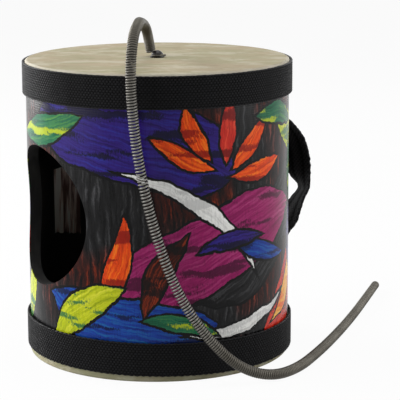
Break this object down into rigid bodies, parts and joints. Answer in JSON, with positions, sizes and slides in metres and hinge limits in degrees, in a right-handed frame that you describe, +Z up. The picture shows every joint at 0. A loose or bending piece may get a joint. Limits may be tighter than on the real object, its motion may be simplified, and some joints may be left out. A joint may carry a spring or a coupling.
{
  "type": "spring drum",
  "caption": "Fibre-shell spring drum with film heads, webbing bands, a round side port, a webbing hand strap and a long steel coil spring hanging from the top head.",
  "frame": {"origin": "middle of the base, where the lower film's rim rests on the table", "axes": "+Z up along the drum's axis, -X through the middle of the sound port, +X through the hand strap"},
  "size_m": [0.2682, 0.1747, 0.2017],
  "materials": {
    "fibre_shell": "black painted fibre tube, satin inside and on the cut port edge",
    "printed_wrap": null,
    "drum_film": "matt cream fibre-look drum film",
    "webbing": "black woven polypropylene webbing",
    "dark_steel": "black plated, shiny",
    "plated_steel": "zinc plated",
    "spring_steel": "nickel-grey drawn spring wire"
  },
  "bodies": {
    "drum": {"shell": "fibre_shell", "shell_wrap": "printed_wrap", "top_head": "drum_film", "bottom_head": "drum_film", "top_band": "webbing", "bottom_band": "webbing", "anchor_screw": "dark_steel", "anchor_washer": "plated_steel", "backing_washer": "plated_steel", "anchor_nut": "plated_steel", "handle_strap": "webbing", "strap_rivet_low": "dark_steel", "strap_rivet_high": "dark_steel", "rivet_burr_low": "plated_steel", "rivet_burr_high": "plated_steel"},
    "spring_loop": {"spring_end_loop": "spring_steel"},
    "spring": {"spring": "spring_steel"}
  },
  "joints": [
    {"name": "spring_swivel", "type": "hinge", "parent": "drum", "child": "spring_loop", "pos_m": [0, 0, 0.17345], "axis": [0, 0, 1], "range_deg": [-200, 80]},
    {"name": "spring_lift", "type": "hinge", "parent": "spring_loop", "child": "spring", "pos_m": [-0.00073, 0.00346, 0.17345], "axis": [-0.7986, -0.6018, 0], "range_deg": [0, 25]}
  ]
}
